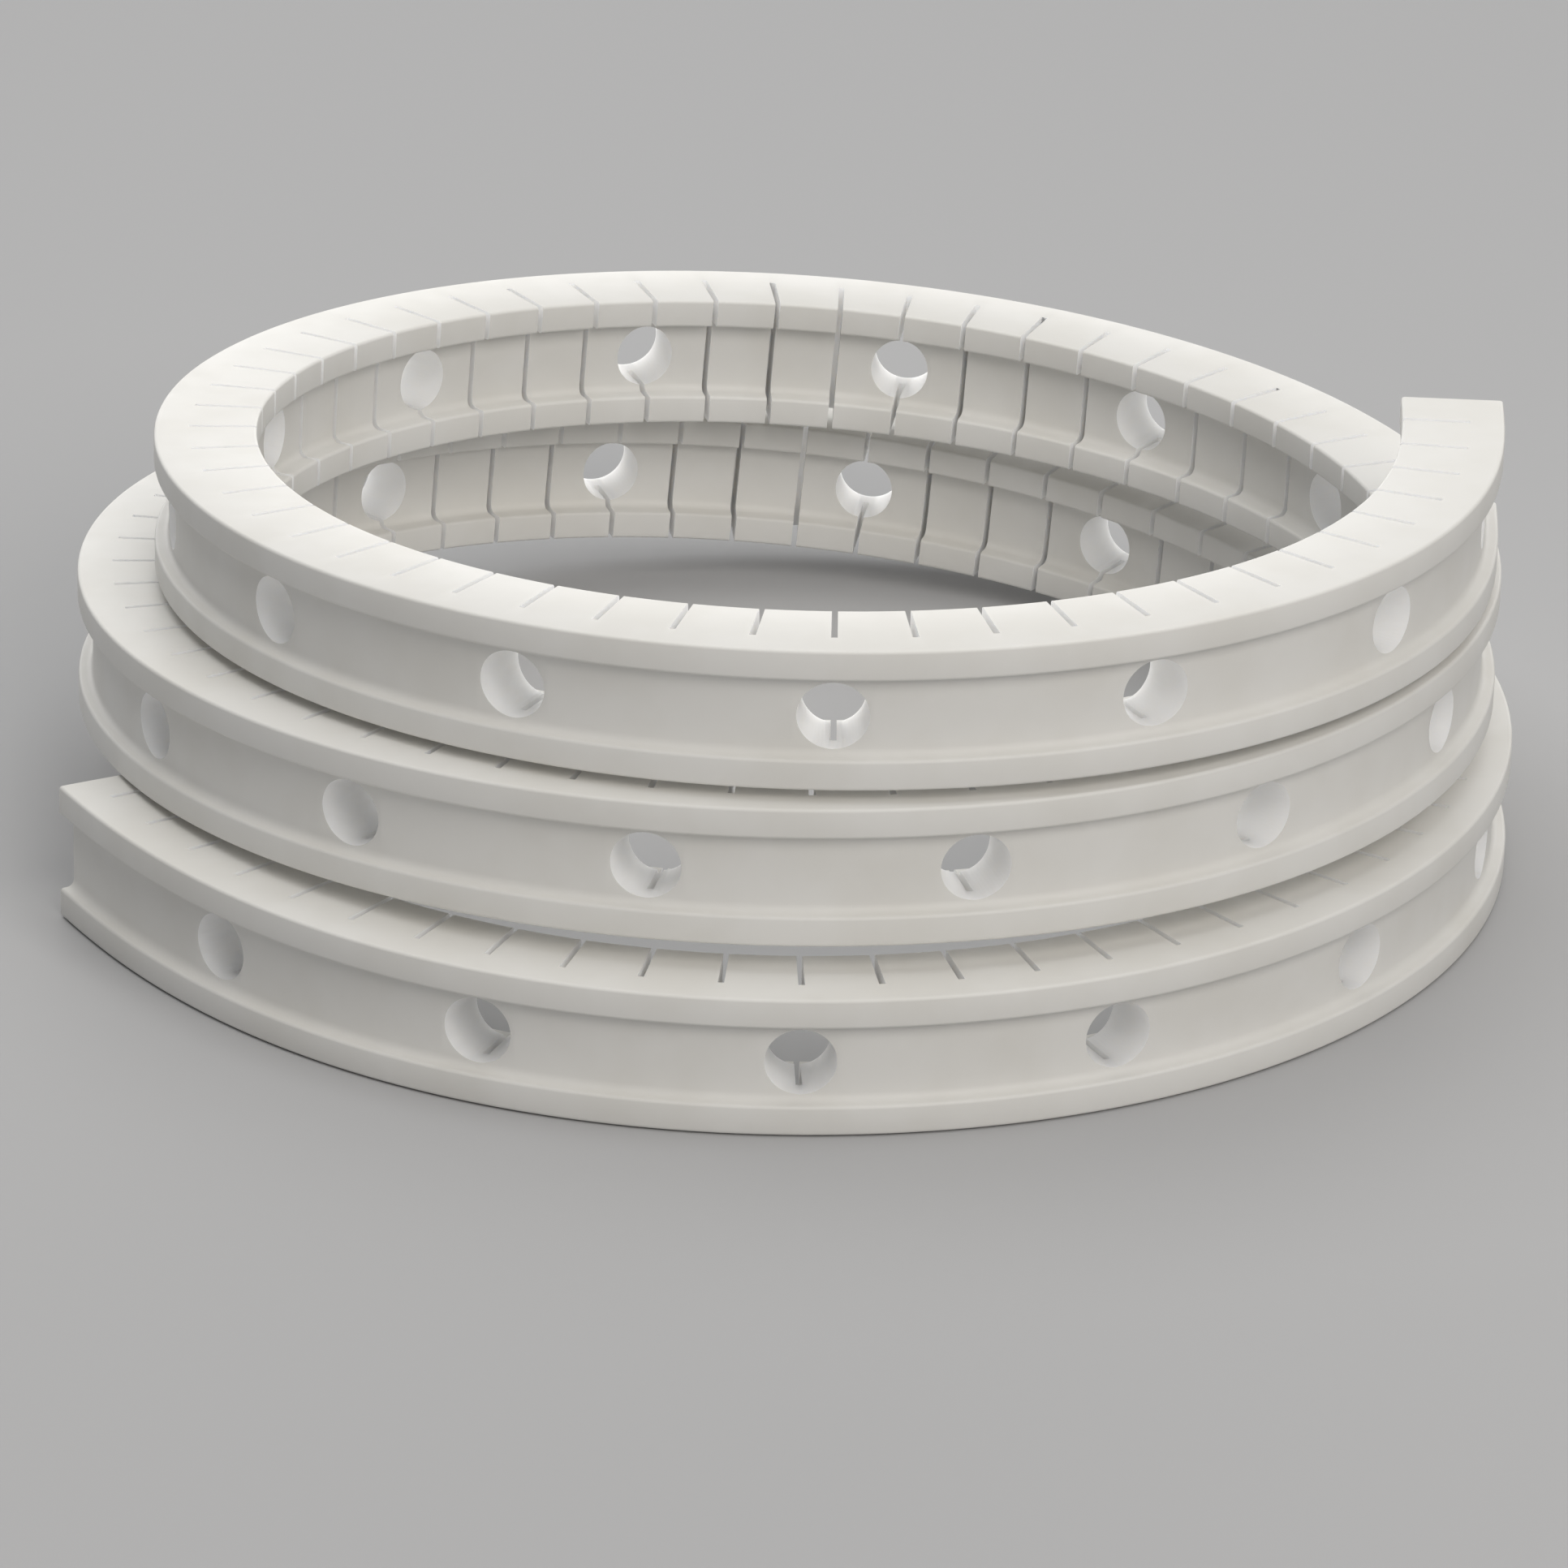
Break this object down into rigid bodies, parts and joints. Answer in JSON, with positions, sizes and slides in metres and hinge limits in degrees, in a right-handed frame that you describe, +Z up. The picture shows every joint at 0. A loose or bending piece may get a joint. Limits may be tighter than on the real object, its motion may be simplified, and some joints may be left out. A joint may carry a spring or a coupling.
{
  "type": "film developing reel",
  "caption": "Free-standing coil of slotted, pierced H-section plastic strip that holds film in its outer channel and flexes to open or close.",
  "frame": {"origin": "centre of the bounding box in plan, at the floor the lowest turn lies on", "axes": "+Z up along the coil; +X to the right and -Y towards the viewer, so slot 0 of the lowest turn faces -Y"},
  "size_m": [0.3008, 0.3091, 0.0956],
  "materials": {
    "link_01_bottom_end": "machined, satin",
    "link_02": "machined, satin",
    "link_03": "machined, satin",
    "link_04": "machined, satin",
    "link_05": "machined, satin",
    "link_06": "machined, satin",
    "link_07": "machined, satin",
    "link_08": "machined, satin",
    "link_09": "machined, satin",
    "link_10": "machined, satin",
    "link_11": "machined, satin",
    "link_12": "machined, satin",
    "link_13": "machined, satin",
    "link_14": "machined, satin",
    "link_15": "machined, satin",
    "link_16": "machined, satin",
    "link_17": "machined, satin",
    "link_18": "machined, satin",
    "link_19": "machined, satin",
    "link_20": "machined, satin",
    "link_21": "machined, satin",
    "link_22": "machined, satin",
    "link_23": "machined, satin",
    "link_24": "machined, satin",
    "link_25": "machined, satin",
    "link_26": "machined, satin",
    "link_27": "machined, satin",
    "link_28": "machined, satin",
    "link_29": "machined, satin",
    "link_30": "machined, satin",
    "link_31": "machined, satin",
    "link_32": "machined, satin",
    "link_33": "machined, satin",
    "link_34_top_end": "machined, satin"
  },
  "bodies": {
    "link_01_bottom_end": {"link_01_bottom_end": "link_01_bottom_end"},
    "link_02": {"link_02": "link_02"},
    "link_03": {"link_03": "link_03"},
    "link_04": {"link_04": "link_04"},
    "link_05": {"link_05": "link_05"},
    "link_06": {"link_06": "link_06"},
    "link_07": {"link_07": "link_07"},
    "link_08": {"link_08": "link_08"},
    "link_09": {"link_09": "link_09"},
    "link_10": {"link_10": "link_10"},
    "link_11": {"link_11": "link_11"},
    "link_12": {"link_12": "link_12"},
    "link_13": {"link_13": "link_13"},
    "link_14": {"link_14": "link_14"},
    "link_15": {"link_15": "link_15"},
    "link_16": {"link_16": "link_16"},
    "link_17": {"link_17": "link_17"},
    "link_18": {"link_18": "link_18"},
    "link_19": {"link_19": "link_19"},
    "link_20": {"link_20": "link_20"},
    "link_21": {"link_21": "link_21"},
    "link_22": {"link_22": "link_22"},
    "link_23": {"link_23": "link_23"},
    "link_24": {"link_24": "link_24"},
    "link_25": {"link_25": "link_25"},
    "link_26": {"link_26": "link_26"},
    "link_27": {"link_27": "link_27"},
    "link_28": {"link_28": "link_28"},
    "link_29": {"link_29": "link_29"},
    "link_30": {"link_30": "link_30"},
    "link_31": {"link_31": "link_31"},
    "link_32": {"link_32": "link_32"},
    "link_33": {"link_33": "link_33"},
    "link_34_top_end": {"link_34_top_end": "link_34_top_end"}
  },
  "joints": [
    {"name": "coil_open", "type": "hinge", "parent": "link_17", "child": "link_18", "pos_m": [0.0046, -0.13881, 0.04915], "axis": [0, 0, -1], "range_deg": [-0.15, 2], "stiffness_Nm_per_rad": 2},
    {"name": "bend_18_19", "type": "hinge", "parent": "link_18", "child": "link_19", "pos_m": [0.06585, -0.1232, 0.04931], "axis": [0, 0, -1], "range_deg": [-0.15, 2], "stiffness_Nm_per_rad": 2},
    {"name": "bend_19_20", "type": "hinge", "parent": "link_19", "child": "link_20", "pos_m": [0.11435, -0.08266, 0.04948], "axis": [0, 0, -1], "range_deg": [-0.15, 2], "stiffness_Nm_per_rad": 2},
    {"name": "bend_20_21", "type": "hinge", "parent": "link_20", "child": "link_21", "pos_m": [0.14016, -0.02495, 0.04983], "axis": [0, 0, -1], "range_deg": [-0.15, 2], "stiffness_Nm_per_rad": 2},
    {"name": "bend_21_22", "type": "hinge", "parent": "link_21", "child": "link_22", "pos_m": [0.13763, 0.03822, 0.05046], "axis": [0, 0, -1], "range_deg": [-0.15, 2], "stiffness_Nm_per_rad": 2},
    {"name": "bend_22_23", "type": "hinge", "parent": "link_22", "child": "link_23", "pos_m": [0.10704, 0.09355, 0.05205], "axis": [0, 0, -1], "range_deg": [-0.15, 2], "stiffness_Nm_per_rad": 2},
    {"name": "bend_23_24", "type": "hinge", "parent": "link_23", "child": "link_24", "pos_m": [0.05482, 0.12918, 0.0547], "axis": [0, 0, -1], "range_deg": [-0.15, 2], "stiffness_Nm_per_rad": 2},
    {"name": "bend_24_25", "type": "hinge", "parent": "link_24", "child": "link_25", "pos_m": [-0.00788, 0.13736, 0.05833], "axis": [0, 0, -1], "range_deg": [-0.15, 2], "stiffness_Nm_per_rad": 2},
    {"name": "bend_25_26", "type": "hinge", "parent": "link_25", "child": "link_26", "pos_m": [-0.06746, 0.11622, 0.06241], "axis": [0, 0, -1], "range_deg": [-0.15, 2], "stiffness_Nm_per_rad": 2},
    {"name": "bend_26_27", "type": "hinge", "parent": "link_26", "child": "link_27", "pos_m": [-0.11093, 0.0703, 0.06685], "axis": [0, 0, -1], "range_deg": [-0.15, 2], "stiffness_Nm_per_rad": 2},
    {"name": "bend_27_28", "type": "hinge", "parent": "link_27", "child": "link_28", "pos_m": [-0.12893, 0.0097, 0.07148], "axis": [0, 0, -1], "range_deg": [-0.15, 2], "stiffness_Nm_per_rad": 2},
    {"name": "bend_28_29", "type": "hinge", "parent": "link_28", "child": "link_29", "pos_m": [-0.11776, -0.05253, 0.07531], "axis": [0, 0, -1], "range_deg": [-0.15, 2], "stiffness_Nm_per_rad": 2},
    {"name": "bend_29_30", "type": "hinge", "parent": "link_29", "child": "link_30", "pos_m": [-0.07999, -0.10323, 0.07816], "axis": [0, 0, -1], "range_deg": [-0.15, 2], "stiffness_Nm_per_rad": 2},
    {"name": "bend_30_31", "type": "hinge", "parent": "link_30", "child": "link_31", "pos_m": [-0.02364, -0.13189, 0.08005], "axis": [0, 0, -1], "range_deg": [-0.15, 2], "stiffness_Nm_per_rad": 2},
    {"name": "bend_31_32", "type": "hinge", "parent": "link_31", "child": "link_32", "pos_m": [0.03958, -0.13226, 0.08102], "axis": [0, 0, -1], "range_deg": [-0.15, 2], "stiffness_Nm_per_rad": 2},
    {"name": "bend_32_33", "type": "hinge", "parent": "link_32", "child": "link_33", "pos_m": [0.09592, -0.10355, 0.08107], "axis": [0, 0, -1], "range_deg": [-0.15, 2], "stiffness_Nm_per_rad": 2},
    {"name": "bend_33_34", "type": "hinge", "parent": "link_33", "child": "link_34_top_end", "pos_m": [0.13212, -0.0517, 0.08077], "axis": [0, 0, -1], "range_deg": [-0.15, 2], "stiffness_Nm_per_rad": 2},
    {"name": "bend_16_17", "type": "hinge", "parent": "link_17", "child": "link_16", "pos_m": [-0.05747, -0.12686, 0.04811], "axis": [0, 0, 1], "range_deg": [-0.15, 2], "stiffness_Nm_per_rad": 2},
    {"name": "bend_15_16", "type": "hinge", "parent": "link_16", "child": "link_15", "pos_m": [-0.10873, -0.08989, 0.04603], "axis": [0, 0, 1], "range_deg": [-0.15, 2], "stiffness_Nm_per_rad": 2},
    {"name": "bend_14_15", "type": "hinge", "parent": "link_15", "child": "link_14", "pos_m": [-0.13959, -0.03472, 0.04297], "axis": [0, 0, 1], "range_deg": [-0.15, 2], "stiffness_Nm_per_rad": 2},
    {"name": "bend_13_14", "type": "hinge", "parent": "link_14", "child": "link_13", "pos_m": [-0.14407, 0.02832, 0.03922], "axis": [0, 0, 1], "range_deg": [-0.15, 2], "stiffness_Nm_per_rad": 2},
    {"name": "bend_12_13", "type": "hinge", "parent": "link_13", "child": "link_12", "pos_m": [-0.12115, 0.08723, 0.03485], "axis": [0, 0, 1], "range_deg": [-0.15, 2], "stiffness_Nm_per_rad": 2},
    {"name": "bend_11_12", "type": "hinge", "parent": "link_12", "child": "link_11", "pos_m": [-0.07509, 0.13053, 0.02995], "axis": [0, 0, 1], "range_deg": [-0.15, 2], "stiffness_Nm_per_rad": 2},
    {"name": "bend_10_11", "type": "hinge", "parent": "link_11", "child": "link_10", "pos_m": [-0.01492, 0.14987, 0.02513], "axis": [0, 0, 1], "range_deg": [-0.15, 2], "stiffness_Nm_per_rad": 2},
    {"name": "bend_09_10", "type": "hinge", "parent": "link_10", "child": "link_09", "pos_m": [0.04778, 0.14188, 0.0205], "axis": [0, 0, 1], "range_deg": [-0.15, 2], "stiffness_Nm_per_rad": 2},
    {"name": "bend_08_09", "type": "hinge", "parent": "link_09", "child": "link_08", "pos_m": [0.10138, 0.10839, 0.01616], "axis": [0, 0, 1], "range_deg": [-0.15, 2], "stiffness_Nm_per_rad": 2},
    {"name": "bend_07_08", "type": "hinge", "parent": "link_08", "child": "link_07", "pos_m": [0.13637, 0.05577, 0.0144], "axis": [0, 0, 1], "range_deg": [-0.15, 2], "stiffness_Nm_per_rad": 2},
    {"name": "bend_06_07", "type": "hinge", "parent": "link_07", "child": "link_06", "pos_m": [0.14681, -0.00656, 0.0144], "axis": [0, 0, 1], "range_deg": [-0.15, 2], "stiffness_Nm_per_rad": 2},
    {"name": "bend_05_06", "type": "hinge", "parent": "link_06", "child": "link_05", "pos_m": [0.13086, -0.06771, 0.0144], "axis": [0, 0, 1], "range_deg": [-0.15, 2], "stiffness_Nm_per_rad": 2},
    {"name": "bend_04_05", "type": "hinge", "parent": "link_05", "child": "link_04", "pos_m": [0.09125, -0.11695, 0.0144], "axis": [0, 0, 1], "range_deg": [-0.15, 2], "stiffness_Nm_per_rad": 2},
    {"name": "bend_03_04", "type": "hinge", "parent": "link_04", "child": "link_03", "pos_m": [0.0349, -0.14555, 0.0144], "axis": [0, 0, 1], "range_deg": [-0.15, 2], "stiffness_Nm_per_rad": 2},
    {"name": "bend_02_03", "type": "hinge", "parent": "link_03", "child": "link_02", "pos_m": [-0.02824, -0.14835, 0.0144], "axis": [0, 0, 1], "range_deg": [-0.15, 2], "stiffness_Nm_per_rad": 2},
    {"name": "bend_01_02", "type": "hinge", "parent": "link_02", "child": "link_01_bottom_end", "pos_m": [-0.08684, -0.12468, 0.0144], "axis": [0, 0, 1], "range_deg": [-0.15, 2], "stiffness_Nm_per_rad": 2}
  ],
  "couplings": [
    {"joint": "bend_18_19", "follows": "coil_open", "ratio": 1},
    {"joint": "bend_19_20", "follows": "coil_open", "ratio": 1},
    {"joint": "bend_20_21", "follows": "coil_open", "ratio": 1},
    {"joint": "bend_21_22", "follows": "coil_open", "ratio": 1},
    {"joint": "bend_22_23", "follows": "coil_open", "ratio": 1},
    {"joint": "bend_23_24", "follows": "coil_open", "ratio": 1},
    {"joint": "bend_24_25", "follows": "coil_open", "ratio": 1},
    {"joint": "bend_25_26", "follows": "coil_open", "ratio": 1},
    {"joint": "bend_26_27", "follows": "coil_open", "ratio": 1},
    {"joint": "bend_27_28", "follows": "coil_open", "ratio": 1},
    {"joint": "bend_28_29", "follows": "coil_open", "ratio": 1},
    {"joint": "bend_29_30", "follows": "coil_open", "ratio": 1},
    {"joint": "bend_30_31", "follows": "coil_open", "ratio": 1},
    {"joint": "bend_31_32", "follows": "coil_open", "ratio": 1},
    {"joint": "bend_32_33", "follows": "coil_open", "ratio": 1},
    {"joint": "bend_33_34", "follows": "coil_open", "ratio": 1},
    {"joint": "bend_16_17", "follows": "coil_open", "ratio": 1},
    {"joint": "bend_15_16", "follows": "coil_open", "ratio": 1},
    {"joint": "bend_14_15", "follows": "coil_open", "ratio": 1},
    {"joint": "bend_13_14", "follows": "coil_open", "ratio": 1},
    {"joint": "bend_12_13", "follows": "coil_open", "ratio": 1},
    {"joint": "bend_11_12", "follows": "coil_open", "ratio": 1},
    {"joint": "bend_10_11", "follows": "coil_open", "ratio": 1},
    {"joint": "bend_09_10", "follows": "coil_open", "ratio": 1},
    {"joint": "bend_08_09", "follows": "coil_open", "ratio": 1},
    {"joint": "bend_07_08", "follows": "coil_open", "ratio": 1},
    {"joint": "bend_06_07", "follows": "coil_open", "ratio": 1},
    {"joint": "bend_05_06", "follows": "coil_open", "ratio": 1},
    {"joint": "bend_04_05", "follows": "coil_open", "ratio": 1},
    {"joint": "bend_03_04", "follows": "coil_open", "ratio": 1},
    {"joint": "bend_02_03", "follows": "coil_open", "ratio": 1},
    {"joint": "bend_01_02", "follows": "coil_open", "ratio": 1}
  ]
}
